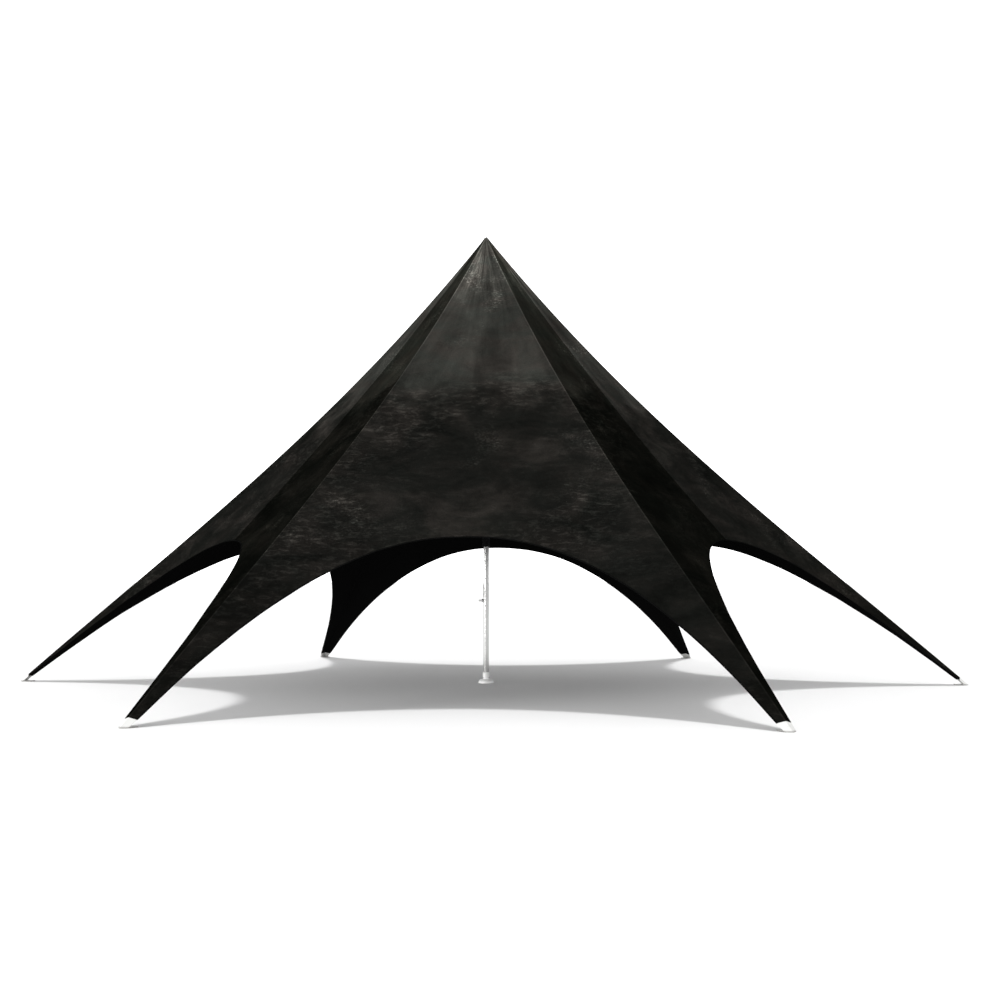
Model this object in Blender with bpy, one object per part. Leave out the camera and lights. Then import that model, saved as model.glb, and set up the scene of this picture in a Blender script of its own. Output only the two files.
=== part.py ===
"""Six-armed star tent: a printed cloth canopy stretched over one central mast.

The canopy is a hexagonal star. Six ridges run from the apex to six feet on the
ground, and a shallow valley runs down the middle of each panel between them, to
the top of an arch. Between a ridge and a valley the cloth is straight at every
height, so each half panel, or gore, is a ruled surface.
"""
import math

import bmesh
import bpy
import numpy as np

# Driving dimensions, in metres
FOOT_CIRCLE_R = 6.0        # mast to the tip of each foot
APEX_H = 5.71              # ground to the point of the canopy
ARCH_TOP_R = 3.282         # mast to the top of an arch
ARCH_TOP_H = 1.762         # ground to the top of an arch
RIDGE_SAG = (1.790, -1.296)     # sag of a ridge under its straight line: start, growth
VALLEY_SAG = (0.5215, -0.0902)  # the same for a valley
ARM_STEP = math.radians(60)
HALF_PANEL = math.radians(30)

# The arch edge is one Bezier curve in (share of the way from ridge to valley, height)
ARCH_EDGE = ((1.0, ARCH_TOP_H), (0.07, ARCH_TOP_H), (0.071, 0.256), (0.024, 0.0))

CLOTH_DROP = 0.010         # height of the cloth solid, about 6 mm square to its face
SEAM_SHIFT = 0.0006        # outward shift of a gore that leaves 0.3 mm at its seams
TOP_HOLE_R = 0.015         # the mast's nose comes through here
CLOTH_END = (0.090, 0.070)   # height of the cut across an arm's end: at ridge, at edge
JOINT_GAP = 0.0004
SHOE_GAP = 0.0010          # between the cloth's end and the shoe, as the gores are shifted

FOOT_DROP = 0.009          # wall of the foot shoe under the cloth's line
TONGUE_TOP = (0.210, 0.190)  # the foot's tongue runs up inside the arm to here
TONGUE_SHARE = 0.80        # of the arm's width
FOOT_PLATE_T = 0.010
FOOT_PLATE_HALF_W = 0.055
FOOT_PLATE_L = 0.17
PEG_HOLE_R = 0.009
PEG_HOLE_INSET = 0.035

TUBE_R = 0.035
TUBE_WALL = 0.003
UPPER_TUBE_R = 0.030
TUBE_FIT = 0.0005
BASE_R = 0.097
BASE_RIM_H = 0.010
BASE_TOP_H = 0.050         # the dome's height where the collar stands on it
BASE_COLLAR_R = 0.043
BASE_COLLAR_H = 0.088
SPIGOT_H = 0.16
LOWER_TUBE_TOP = 1.83      # the lock between the tubes is in reach, level with the arches
UPPER_TUBE_FOOT = 1.53
CLAMP_R = 0.047
CLAMP_H = 0.108
HEAD_R = 0.065
HEAD_SKIRT = 0.090
APEX_COLLAR_R = 0.30
APEX_COLLAR_T = 0.004

WINDER_H = 1.040           # height of the winder knob's axis
SADDLE_LOW, SADDLE_HIGH = 1.012, 1.240
SADDLE_PROUD = 0.008
SADDLE_HALF_ANGLE = math.radians(62)
BOSS_R = 0.019
BOSS_OUT = 0.056
KNOB_SHAFT_R = 0.011
KNOB_R = 0.014
KNOB_SHAFT_END = 0.073
KNOB_END = 0.096
KNOB_GAP = 0.0010

ARM_NAMES = ("right", "rear_right", "rear_left", "left", "front_left", "front_right")
PANEL_NAMES = ("right_rear", "rear", "left_rear", "left_front", "front", "right_front")


def clear_scene():
    for obj in list(bpy.data.objects):
        bpy.data.objects.remove(obj, do_unlink=True)


def material(name, color, roughness, metallic=0.0):
    mat = bpy.data.materials.new(name)
    mat.use_nodes = True
    bsdf = mat.node_tree.nodes["Principled BSDF"]
    bsdf.inputs["Base Color"].default_value = (*color, 1.0)
    bsdf.inputs["Roughness"].default_value = roughness
    bsdf.inputs["Metallic"].default_value = metallic
    mat.diffuse_color = (*color, 1.0)
    return mat


def finish(name, bm, mat, smooth=False):
    """Turn a closed bmesh into the named object, faces outwards."""
    bmesh.ops.remove_doubles(bm, verts=bm.verts, dist=1e-6)
    bmesh.ops.recalc_face_normals(bm, faces=bm.faces)
    mesh = bpy.data.meshes.new(name)
    bm.to_mesh(mesh)
    bm.free()
    mesh.materials.append(mat)
    if smooth:
        mesh.shade_smooth()
        mesh.set_sharp_from_angle(angle=math.radians(35))
    obj = bpy.data.objects.new(name, mesh)
    bpy.context.scene.collection.objects.link(obj)
    return obj


def cut(obj, tool, operation):
    """Join or cut an object with a tool that isn't a piece of its own."""
    tool.hide_render = True
    tool.display_type = "WIRE"
    mod = obj.modifiers.new(tool.name, "BOOLEAN")
    mod.operation = operation
    mod.object = tool


# The canopy's surface
def ridge_height(r):
    share = r / FOOT_CIRCLE_R
    sag = share * (1 - share) * (RIDGE_SAG[0] + RIDGE_SAG[1] * share)
    return APEX_H * (1 - share) - sag


def valley_height(r):
    share = r / ARCH_TOP_R
    sag = share * (1 - share) * (VALLEY_SAG[0] + VALLEY_SAG[1] * share)
    return APEX_H - (APEX_H - ARCH_TOP_H) * share - sag


RADII = np.linspace(0.0, FOOT_CIRCLE_R * 1.02, 3000)


def ridge_radius(z):
    """Radius at which a ridge has height z."""
    return float(np.interp(-z, -ridge_height(RADII), RADII))


def valley_radius(z):
    """The same for a valley, which runs on below the arch as a guide line."""
    return float(np.interp(-z, -valley_height(RADII), RADII))


def arch_edge(t):
    """Point of the arch edge: t = 0 at the arch's top and 1 at the ground."""
    weights = ((1 - t) ** 3, 3 * (1 - t) ** 2 * t, 3 * (1 - t) * t ** 2, t ** 3)
    share = sum(w * p[0] for w, p in zip(weights, ARCH_EDGE))
    height = sum(w * p[1] for w, p in zip(weights, ARCH_EDGE))
    return share, height


EDGE_CURVE = np.array([arch_edge(t) for t in np.linspace(0.0, 1.0, 600)])


def edge_share(z):
    """How far the cloth reaches from the ridge towards the valley at height z."""
    return float(np.interp(-z, -EDGE_CURVE[:, 1], EDGE_CURVE[:, 0]))


def canopy_point(z, share, arm_angle, side):
    """Point at height z, share of the way from the ridge to the valley beside it."""
    valley_angle = arm_angle + side * HALF_PANEL
    r_ridge, r_valley = ridge_radius(z), valley_radius(z)
    x = (1 - share) * r_ridge * math.cos(arm_angle) + share * r_valley * math.cos(valley_angle)
    y = (1 - share) * r_ridge * math.sin(arm_angle) + share * r_valley * math.sin(valley_angle)
    return np.array((x, y, z))


def shell(bm, top_rows, bottom_rows):
    """Close a sheet between two like grids of points, with faces all round."""
    tops = [[bm.verts.new(p) for p in row] for row in top_rows]
    lows = [[bm.verts.new(p) for p in row] for row in bottom_rows]
    last_row, last_col = len(tops) - 1, len(tops[0]) - 1

    def quad(a, b, c, d):
        bm.faces.new((a, b, c))
        bm.faces.new((a, c, d))

    for i in range(last_row):
        for j in range(last_col):
            quad(tops[i][j], tops[i + 1][j], tops[i + 1][j + 1], tops[i][j + 1])
            quad(lows[i][j], lows[i][j + 1], lows[i + 1][j + 1], lows[i + 1][j])
        for j in (0, last_col):
            quad(tops[i][j], lows[i][j], lows[i + 1][j], tops[i + 1][j])
    for i in (0, last_row):
        for j in range(last_col):
            quad(tops[i][j], tops[i][j + 1], lows[i][j + 1], lows[i][j])


def gore_rows():
    """Rows of a gore from the top hole to the arm's end: ends of each straight line."""
    rows = []
    for r in (TOP_HOLE_R, 0.25, 0.6, 1.0, 1.5, 2.0, 2.45, 2.9):
        z = valley_height(r)
        rows.append(((z, 0.0), (z, 1.0)))
    for t in (0.0, 0.07, 0.14, 0.22, 0.31, 0.41, 0.52, 0.64, 0.76):
        share, z = arch_edge(t)
        rows.append(((z, 0.0), (z, share)))
    for ridge_z, edge_z in (TONGUE_TOP, CLOTH_END):
        rows.append(((ridge_z, 0.0), (edge_z, edge_share(edge_z))))
    return rows


def make_gore(name, arm_angle, side, mat):
    middle = arm_angle + side * HALF_PANEL / 2
    shift = np.array((math.cos(middle), math.sin(middle), 0.0)) * SEAM_SHIFT
    top = [[canopy_point(z, s, arm_angle, side) + shift for z, s in row] for row in gore_rows()]
    drop = np.array((0.0, 0.0, CLOTH_DROP))
    bm = bmesh.new()
    shell(bm, top, [[p - drop for p in row] for row in top])
    return finish(name, bm, mat)


# The feet
def make_foot(name, arm_angle, mat):
    """A bent shoe that carries the arm's line on to the ground, in one piece with the
    tongue that runs up inside the cloth and the flat plate that lies on the ground.

    Each row holds three points across the arm: edge, ridge, edge. The rows run down
    the outside, back along the ground, and up the inside.
    """
    def across(ridge_z, edge_z, drop, width=1.0):
        share = edge_share(edge_z) * width
        row = (canopy_point(edge_z, share, arm_angle, -1),
               canopy_point(ridge_z, 0.0, arm_angle, 1),
               canopy_point(edge_z, share, arm_angle, 1))
        return [p - np.array((0.0, 0.0, drop)) for p in row]

    cos_a, sin_a = math.cos(arm_angle), math.sin(arm_angle)

    def plate_back(z):
        x = FOOT_CIRCLE_R - FOOT_PLATE_L
        return [np.array((x * cos_a - y * sin_a, x * sin_a + y * cos_a, z))
                for y in (-FOOT_PLATE_HALF_W, 0.0, FOOT_PLATE_HALF_W)]

    under = CLOTH_DROP + FOOT_DROP
    shoe_top = [z - SHOE_GAP for z in CLOTH_END]
    tongue_drop = CLOTH_DROP + JOINT_GAP
    plate_z = under + FOOT_PLATE_T
    loop = [across(*TONGUE_TOP, tongue_drop, TONGUE_SHARE),
            across(*shoe_top, tongue_drop, TONGUE_SHARE),
            across(*shoe_top, 0.0),
            across(0.0, 0.0, 0.0),
            plate_back(0.0),
            plate_back(FOOT_PLATE_T),
            across(plate_z, plate_z, under, TONGUE_SHARE),
            across(*TONGUE_TOP, under, TONGUE_SHARE)]

    bm = bmesh.new()
    rows = [[bm.verts.new(p) for p in row] for row in loop]
    for a, b in zip(rows, rows[1:] + rows[:1]):
        for j in range(2):
            bm.faces.new((a[j], b[j], b[j + 1]))
            bm.faces.new((a[j], b[j + 1], a[j + 1]))
    for j in (0, 2):
        bm.faces.new([row[j] for row in rows])
    bmesh.ops.triangulate(bm, faces=bm.faces)
    foot = finish(name, bm, mat)

    bm = bmesh.new()
    bmesh.ops.create_cone(bm, cap_ends=True, segments=16, radius1=PEG_HOLE_R,
                          radius2=PEG_HOLE_R, depth=4 * FOOT_PLATE_T)
    hole_x = FOOT_CIRCLE_R - FOOT_PLATE_L + PEG_HOLE_INSET
    bmesh.ops.translate(bm, verts=bm.verts, vec=(hole_x * cos_a, hole_x * sin_a, 0.0))
    cut(foot, finish(name + "_peg_hole", bm, mat), "DIFFERENCE")
    return foot


# The mast
def turned(name, profile, mat, segments=32):
    """Spin a closed (radius, height) profile round the mast's axis."""
    bm = bmesh.new()
    verts = [bm.verts.new((r, 0.0, z)) for r, z in profile]
    edges = [bm.edges.new((verts[i], verts[(i + 1) % len(verts)])) for i in range(len(verts))]
    on_axis = [e for e in edges if all(abs(v.co.x) < 1e-9 for v in e.verts)]
    bmesh.ops.delete(bm, geom=on_axis, context="EDGES_FACES")
    bmesh.ops.spin(bm, geom=bm.verts[:] + bm.edges[:], cent=(0, 0, 0), axis=(0, 0, 1),
                   angle=2 * math.pi, steps=segments, use_merge=True)
    bmesh.ops.remove_doubles(bm, verts=bm.verts, dist=1e-5)
    bmesh.ops.dissolve_degenerate(bm, edges=bm.edges, dist=1e-6)
    return finish(name, bm, mat, smooth=True)


def make_mast(aluminium, dark, white):
    spigot_r = TUBE_R - TUBE_WALL - TUBE_FIT
    # The base is a dome: a quarter of an ellipse from the rim up to the collar
    dome = [(BASE_R, 0.0)]
    for i in range(9):
        turn = i / 8 * math.pi / 2
        dome.append((BASE_COLLAR_R + (BASE_R - BASE_COLLAR_R) * math.cos(turn),
                     BASE_RIM_H + (BASE_TOP_H - BASE_RIM_H) * math.sin(turn)))
    turned("mast_base_plate",
           [(0.0, 0.0)] + dome + [(spigot_r, BASE_TOP_H), (spigot_r, SPIGOT_H), (0.0, SPIGOT_H)],
           white)

    collar_low = BASE_TOP_H + JOINT_GAP
    collar_high = BASE_TOP_H + BASE_COLLAR_H
    turned("mast_base_collar",
           [(TUBE_R + TUBE_FIT, collar_low), (BASE_COLLAR_R, collar_low),
            (BASE_COLLAR_R, collar_high - 0.006), (BASE_COLLAR_R - 0.006, collar_high),
            (TUBE_R + TUBE_FIT, collar_high)], aluminium)

    turned("mast_lower_tube",
           [(TUBE_R - TUBE_WALL, collar_low), (TUBE_R, collar_low),
            (TUBE_R, LOWER_TUBE_TOP), (TUBE_R - TUBE_WALL, LOWER_TUBE_TOP)], aluminium)

    lip = LOWER_TUBE_TOP + JOINT_GAP
    turned("mast_clamp_collar",
           [(TUBE_R + TUBE_FIT, LOWER_TUBE_TOP - CLAMP_H), (CLAMP_R, LOWER_TUBE_TOP - CLAMP_H),
            (CLAMP_R, LOWER_TUBE_TOP + 0.010), (CLAMP_R - 0.008, LOWER_TUBE_TOP + 0.018),
            (UPPER_TUBE_R + TUBE_FIT, LOWER_TUBE_TOP + 0.018),
            (UPPER_TUBE_R + TUBE_FIT, lip), (TUBE_R + TUBE_FIT, lip)], dark)

    head_low = valley_height(HEAD_R) - HEAD_SKIRT
    turned("mast_upper_tube",
           [(UPPER_TUBE_R - TUBE_WALL, UPPER_TUBE_FOOT), (UPPER_TUBE_R, UPPER_TUBE_FOOT),
            (UPPER_TUBE_R, head_low), (UPPER_TUBE_R - TUBE_WALL, head_low)], aluminium)

    # The head: a nose cone under the cloth, with a plug down into the upper tube
    under_cloth = CLOTH_DROP + APEX_COLLAR_T + 3 * JOINT_GAP
    nose_r = TOP_HOLE_R - 0.002
    plug_r = UPPER_TUBE_R - TUBE_WALL - TUBE_FIT
    collar_hole_r = TOP_HOLE_R + 0.004
    turned("mast_head",
           [(0.0, head_low - 0.08), (plug_r, head_low - 0.08), (plug_r, head_low + JOINT_GAP),
            (HEAD_R - 0.012, head_low + JOINT_GAP), (HEAD_R, head_low + 0.02),
            (HEAD_R, valley_height(HEAD_R) - under_cloth),
            (collar_hole_r, valley_height(collar_hole_r) - under_cloth),
            (nose_r, valley_height(collar_hole_r) - under_cloth + 0.002),
            (nose_r, valley_height(nose_r) - 0.001),
            (0.004, APEX_H - 0.006), (0.0, APEX_H - 0.004)], aluminium, segments=24)


def make_apex_collar(mat):
    """Twelve-sided reinforcing cone of doubled cloth under the apex."""
    rows = []
    for r in (TOP_HOLE_R + 0.002, 0.08, APEX_COLLAR_R):
        z = valley_height(r)
        ring = []
        for k in range(6):
            angle = k * ARM_STEP
            ring.append(canopy_point(z, 0.0, angle, 1))
            ring.append(canopy_point(z, 1.0, angle, 1))
        rows.append(ring)
    high = CLOTH_DROP + JOINT_GAP
    low = high + APEX_COLLAR_T
    bm = bmesh.new()
    levels = [[[bm.verts.new(p - np.array((0, 0, d))) for p in ring] for ring in rows]
              for d in (high, low)]
    loop = levels[0] + levels[1][::-1]
    for a, b in zip(loop, loop[1:] + loop[:1]):
        for k in range(12):
            m = (k + 1) % 12
            bm.faces.new((a[k], a[m], b[m]))
            bm.faces.new((a[k], b[m], b[k]))
    return finish("apex_collar", bm, mat)


def along_minus_x(profile, name, mat, segments=20):
    """Spin a closed (radius, distance) profile round the winder's axis, out along -X."""
    obj = turned(name, profile, mat, segments)
    for v in obj.data.vertices:
        x, y, z = v.co
        v.co = (-z, y, x)
    obj.data.flip_normals()
    bm = bmesh.new()
    bm.from_mesh(obj.data)
    bmesh.ops.recalc_face_normals(bm, faces=bm.faces)
    bm.to_mesh(obj.data)
    bm.free()
    obj.location = (0.0, 0.0, WINDER_H)
    return obj


def make_winder(aluminium, white):
    # The saddle hugs the tube's left side and carries the knob in a bearing boss
    inner, outer = TUBE_R + TUBE_FIT, TUBE_R + SADDLE_PROUD
    steps = 12
    angles = [math.pi - SADDLE_HALF_ANGLE + 2 * SADDLE_HALF_ANGLE * i / steps
              for i in range(steps + 1)]
    bm = bmesh.new()
    levels = (SADDLE_LOW, SADDLE_HIGH)
    grid = [[[(r * math.cos(a), r * math.sin(a), z) for a in angles] for z in levels]
            for r in (outer, inner)]
    shell(bm, grid[0], grid[1])
    saddle = finish("winder_saddle", bm, aluminium)

    boss = along_minus_x([(0.0, inner + 0.002), (BOSS_R, inner + 0.002), (BOSS_R, BOSS_OUT - 0.003),
                          (BOSS_R - 0.003, BOSS_OUT), (0.0, BOSS_OUT)], "winder_boss", aluminium)
    bore_r = KNOB_SHAFT_R - 0.004 + KNOB_GAP
    bore = along_minus_x([(0.0, inner + 0.005), (bore_r, inner + 0.005),
                          (bore_r, BOSS_OUT + 0.02), (0.0, BOSS_OUT + 0.02)],
                         "winder_bore", aluminium)
    cut(saddle, boss, "UNION")
    cut(saddle, bore, "DIFFERENCE")

    pin_r = KNOB_SHAFT_R - 0.004
    pin_start = inner + 0.005 + KNOB_GAP
    hub_start = BOSS_OUT + KNOB_GAP
    along_minus_x([(0.0, pin_start), (pin_r, pin_start), (pin_r, hub_start),
                   (KNOB_SHAFT_R, hub_start), (KNOB_SHAFT_R, KNOB_SHAFT_END),
                   (KNOB_R, KNOB_SHAFT_END + 0.002), (KNOB_R, KNOB_END - 0.003),
                   (KNOB_R - 0.003, KNOB_END), (0.0, KNOB_END)], "winder_knob", white)


def build():
    clear_scene()
    cloth = material("black_polyester", (0.018, 0.018, 0.017), 0.75)
    lining = material("black_lining", (0.006, 0.006, 0.006), 0.85)
    shoe = material("white_powder_coat", (0.86, 0.86, 0.85), 0.45)
    aluminium = material("satin_aluminium", (0.80, 0.81, 0.82), 0.38, 1.0)
    dark = material("dark_clamp", (0.10, 0.10, 0.105), 0.5)

    for k in range(6):
        arm_angle = k * ARM_STEP
        make_gore(f"canopy_{PANEL_NAMES[k]}_gore_a", arm_angle, 1, cloth)
        make_gore(f"canopy_{PANEL_NAMES[k - 1]}_gore_b", arm_angle, -1, cloth)
        make_foot(f"foot_{ARM_NAMES[k]}", arm_angle, shoe)
    make_apex_collar(lining)
    make_mast(aluminium, dark, shoe)
    make_winder(aluminium, shoe)


build()
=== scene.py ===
"""Looks of a six-armed star tent: smoke-printed black cloth over one mast, on six white feet."""
from functools import partial
import math

import bmesh
import bpy
import numpy as np
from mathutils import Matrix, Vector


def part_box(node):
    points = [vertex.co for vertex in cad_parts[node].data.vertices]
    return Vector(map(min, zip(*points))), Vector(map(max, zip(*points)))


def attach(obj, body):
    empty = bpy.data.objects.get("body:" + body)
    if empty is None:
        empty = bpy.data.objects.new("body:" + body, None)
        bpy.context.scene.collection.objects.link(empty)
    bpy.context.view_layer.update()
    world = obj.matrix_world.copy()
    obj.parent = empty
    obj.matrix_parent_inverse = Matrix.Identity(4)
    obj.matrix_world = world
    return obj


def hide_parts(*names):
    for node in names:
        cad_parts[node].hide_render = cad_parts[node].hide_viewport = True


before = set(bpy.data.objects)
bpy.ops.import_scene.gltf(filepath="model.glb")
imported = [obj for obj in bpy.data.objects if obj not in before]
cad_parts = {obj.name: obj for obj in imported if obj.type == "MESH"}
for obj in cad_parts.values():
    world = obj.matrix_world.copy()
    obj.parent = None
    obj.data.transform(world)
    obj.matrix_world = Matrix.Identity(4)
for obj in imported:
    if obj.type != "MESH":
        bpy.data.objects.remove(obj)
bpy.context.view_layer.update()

# Camera: the photo's viewpoint, 17 m in front of the mast and 1.4 m above the ground, through a
# normal 50 mm lens that looks a little up and a little to the left.
def placed(name, data):
    """A new object with this data, in the scene."""
    made = bpy.data.objects.new(name, data)
    bpy.context.scene.collection.objects.link(made)
    return made


camera = placed("viewpoint", bpy.data.cameras.new("viewpoint"))
camera.data.lens = 50.0
camera.data.sensor_width = 36.0
camera.location = (1.011, -17.454, 1.411)
camera.rotation_euler = (math.radians(93.171), 0.0, math.radians(2.95))
bpy.context.scene.camera = camera
bpy.context.scene.view_settings.view_transform = "Standard"

# Studio: a matt white floor that runs out of sight under a white sky, dimmer overhead. One soft
# lamp hangs straight above, and a low one on the left reaches the mast under the arches.
FLOOR_HALF = 150.0
FLOOR_DROP = 0.0006


def linear(hex_code):
    """sRGB hex to linear light, with an alpha of 1."""
    parts = [int(hex_code[i:i + 2], 16) / 255 for i in (1, 3, 5)]
    return tuple(p / 12.92 if p <= 0.04045 else ((p + 0.055) / 1.055) ** 2.4 for p in parts) + (1.0,)


def plug(made, inputs):
    """Give each socket of a node, by its name or number, a value, or link another node's socket
    to it. A node given in place of a socket stands for its first output."""
    for name, value in inputs.items():
        if isinstance(value, bpy.types.Node):
            value = value.outputs[0]
        if isinstance(value, bpy.types.NodeSocket):
            made.id_data.links.new(value, made.inputs[name])
        else:
            made.inputs[name].default_value = value


def node(tree, kind, inputs={}, stops=(), **settings):
    """Add one node. stops are the positions and colours of a colour ramp, and settings are the
    node's own properties."""
    made = tree.nodes.new("ShaderNode" + kind)
    for name, value in settings.items():
        setattr(made, name, value)
    for end, (position, shade) in zip((0, 1), stops[:1] + stops[-1:]):
        made.color_ramp.elements[end].position = position
        made.color_ramp.elements[end].color = linear(shade)
    for position, shade in stops[1:-1]:
        made.color_ramp.elements.new(position).color = linear(shade)
    plug(made, inputs)
    return made


def blank_material(name):
    """A new material, what adds a node to it, and its Principled BSDF."""
    made = bpy.data.materials.new(name)
    made.use_nodes = True
    return made, partial(node, made.node_tree), made.node_tree.nodes["Principled BSDF"]


def grained(name, grain, tones, sockets, relief=None):
    """A material with one noise, whose scale and detail are given. tones are the stops of the
    noise's colour ramp, and relief is the strength and depth of its bumps."""
    made, add, shader = blank_material(name)
    place = add("TexCoord").outputs["Object"]
    noise = add("TexNoise", {"Vector": place, "Scale": grain[0], "Detail": grain[1]})
    if relief:
        bump = add("Bump", {"Height": noise, "Strength": relief[0], "Distance": relief[1]})
        plug(shader, {"Normal": bump})
    plug(shader, {"Base Color": add("ValToRGB", {"Fac": noise}, tones), **sockets})
    return made


# Matt white paint: very light, rough, with a faint unevenness of tone
floor_paint = grained("matt_white_floor_paint", (0.4, 3.0), ((0.0, "#EFEFEF"), (1.0, "#F3F3F3")),
                      {"Roughness": 0.9, "Specular IOR Level": 0.1})
floor_mesh = bpy.data.meshes.new("floor")
floor_mesh.from_pydata([(x * FLOOR_HALF, y * FLOOR_HALF, -FLOOR_DROP)
                        for x, y in ((-1, -1), (1, -1), (1, 1), (-1, 1))], [], [(0, 1, 2, 3)])
floor_mesh.materials.append(floor_paint)
floor = placed("floor", floor_mesh)

sky = bpy.data.worlds.new("white_sky")
sky.use_nodes = True
add_to_sky = partial(node, sky.node_tree)
towards = add_to_sky("TexCoord").outputs["Generated"]
up = add_to_sky("SeparateXYZ", {0: towards}).outputs["Z"]
SMOOTH = {"interpolation_type": "SMOOTHSTEP"}
# Brightest up to 20 degrees above the horizon, then fading to a quarter of that at 53 degrees
glow = add_to_sky("MapRange", {"Value": up, "From Min": 0.34, "From Max": 0.80,
                               "To Min": 1.4, "To Max": 0.35})
# Low down it is brighter on the left and behind, which draws a grey line down the mast's right
to_right = add_to_sky("VectorMath", {0: towards, 1: (0.8, -0.6, 0.0)}, operation="DOT_PRODUCT")
uneven = add_to_sky("MapRange", {"Value": to_right.outputs["Value"], "From Min": 0.05,
                                 "From Max": 0.75, "To Min": 0.65, "To Max": -0.40}, **SMOOTH)
low_down = add_to_sky("MapRange", {"Value": up, "From Max": 0.34, "To Min": 1.0, "To Max": 0.0})
strength = add_to_sky("Math", {0: uneven, 1: low_down, 2: glow}, operation="MULTIPLY_ADD")
plug(sky.node_tree.nodes["Background"], {"Color": (1.0, 1.0, 1.0, 1.0), "Strength": strength})
bpy.context.scene.world = sky

# Energy, softness, tilt from straight down, and turn, the last three in degrees
LAMPS = {"overhead_lamp": (1.6, 9, 0, 0), "low_lamp": (1.8, 24, 84, -50)}
for name, (energy, softness, tilt, turn) in LAMPS.items():
    lamp = placed(name, bpy.data.lights.new(name, "SUN"))
    lamp.data.energy = energy
    lamp.data.angle = math.radians(softness)
    lamp.rotation_euler = (math.radians(tilt), 0.0, math.radians(turn))


# Mast base: a low dome of spun steel with a spigot that the tube slips over. It is
# powder-coated white, and its rim is rounded so that it doesn't cut the ground.
def turned_size(name):
    """Radius of a part that is round the mast, and the heights of its foot and its top."""
    low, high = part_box(name)
    return high[0], low[2], high[2]


BASE_R, _, SPIGOT_TOP = turned_size("mast_base_plate")
BASE_RIM, BASE_TOP = 0.010, 0.050
COLLAR_R, COLLAR_LOW, COLLAR_HIGH = turned_size("mast_base_collar")
TUBE_R, LOWER_LOW, LOWER_HIGH = turned_size("mast_lower_tube")
TUBE_WALL = 0.003
SLIDE_GAP = 0.0005         # between parts that slide on one another
ROUND_STEPS = 96


def xyz(x, y, z):
    """Put three arrays that broadcast together as one array of points."""
    return np.stack(np.broadcast_arrays(x, y, z), axis=-1)


def grid_faces(rows, cols, round_rows=False, round_cols=False):
    """Quads between the neighbours in a grid of points that is numbered row by row."""
    i = np.arange(rows if round_rows else rows - 1)[:, None]
    j = np.arange(cols if round_cols else cols - 1)[None, :]
    i_next, j_next = (i + 1) % rows, (j + 1) % cols
    corners = (i * cols + j, i_next * cols + j, i_next * cols + j_next, i * cols + j_next)
    return np.stack(np.broadcast_arrays(*corners), axis=-1).reshape(-1, 4)


def welded(mesh):
    """Merge a mesh's doubled points, drop what has no size, and turn its faces outwards."""
    bm = bmesh.new()
    bm.from_mesh(mesh)
    bmesh.ops.remove_doubles(bm, verts=bm.verts, dist=1e-6)
    bmesh.ops.dissolve_degenerate(bm, edges=bm.edges, dist=1e-7)
    bmesh.ops.recalc_face_normals(bm, faces=bm.faces)
    bm.to_mesh(mesh)
    bm.free()


def piece(name, points, faces, materials, body, sharp=35.0, weld=True):
    """Make the named object from points and faces, shade it, and let it ride on its body."""
    mesh = bpy.data.meshes.new(name)
    mesh.from_pydata(points.reshape(-1, 3).tolist(), [], [list(f) for f in faces])
    if weld:
        welded(mesh)
    for material in materials:
        mesh.materials.append(material)
    mesh.shade_smooth()
    mesh.set_sharp_from_angle(angle=math.radians(sharp))
    made = placed(name, mesh)
    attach(made, body)
    return made


def turned(profile, steps=ROUND_STEPS):
    """Points and faces of a closed profile of (radius, height) pairs carried round the mast:
    x and y are the radius times the cosine and sine of the angle, and z is the height."""
    radius, height = np.array(profile).T
    angle = np.linspace(0.0, 2 * np.pi, steps, endpoint=False)[:, None]
    points = xyz(radius * np.cos(angle), radius * np.sin(angle), height).reshape(-1, 3)
    return points, grid_faces(steps, len(profile), True, True)


def white_powder_coat(name, clean, scuffed, dark_band_height):
    """Powder coat on steel: warm white, half glossy, with a fine orange peel about 2 mm across,
    thin grey scuffs, and a grey band up to a height of dark_band_height, which is painted contact
    shadow and dirt."""
    made, add, shader = blank_material(name)
    place = add("TexCoord").outputs["Object"]
    peel = add("TexNoise", {"Vector": place, "Scale": 500.0, "Detail": 1.0})
    scuff = add("TexNoise", {"Vector": place, "Scale": 28.0, "Detail": 8.0, "Roughness": 0.75})
    tone = add("ValToRGB", {"Fac": scuff}, ((0.55, clean), (0.80, scuffed)))
    relief = add("Bump", {"Height": peel, "Strength": 0.12, "Distance": 0.0003})
    height = add("SeparateXYZ", {0: place}).outputs["Z"]
    # Painted contact shadow and dirt: the coat turns grey towards the bottom, up to dark_band_height
    dirt_and_contact_shade = add("MapRange", {"Value": height, "From Max": dark_band_height, "To Min": 1.0, "To Max": 0.0})
    colour = add("Mix", {"Factor": dirt_and_contact_shade, 6: tone, 7: linear("#6E6C66")}, data_type="RGBA")
    plug(shader, {"Base Color": colour.outputs[2], "Normal": relief, "Roughness": 0.42})
    return made


powder_coat = white_powder_coat("white_powder_coat", "#F6F6F5", "#DADAD8", 0.003)
spigot_r = TUBE_R - TUBE_WALL - SLIDE_GAP
# The dome is a quarter of an ellipse from the top of the rim in and up to the collar's radius
bend = np.linspace(0.0, np.pi / 2, 16)
dome = zip(COLLAR_R + (BASE_R - COLLAR_R) * np.cos(bend),
           BASE_RIM + (BASE_TOP - BASE_RIM) * np.sin(bend))
base_profile = ([(0.0, 0.0), (BASE_R - 0.002, 0.0), (BASE_R, 0.002), *dome]
                + [(spigot_r, BASE_TOP), (spigot_r, SPIGOT_TOP - 0.003),
                   (spigot_r - 0.003, SPIGOT_TOP), (0.0, SPIGOT_TOP)])
base_plate = piece("mast_base_dome", *turned(base_profile), [powder_coat], "tent")
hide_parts("mast_base_plate")

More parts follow.
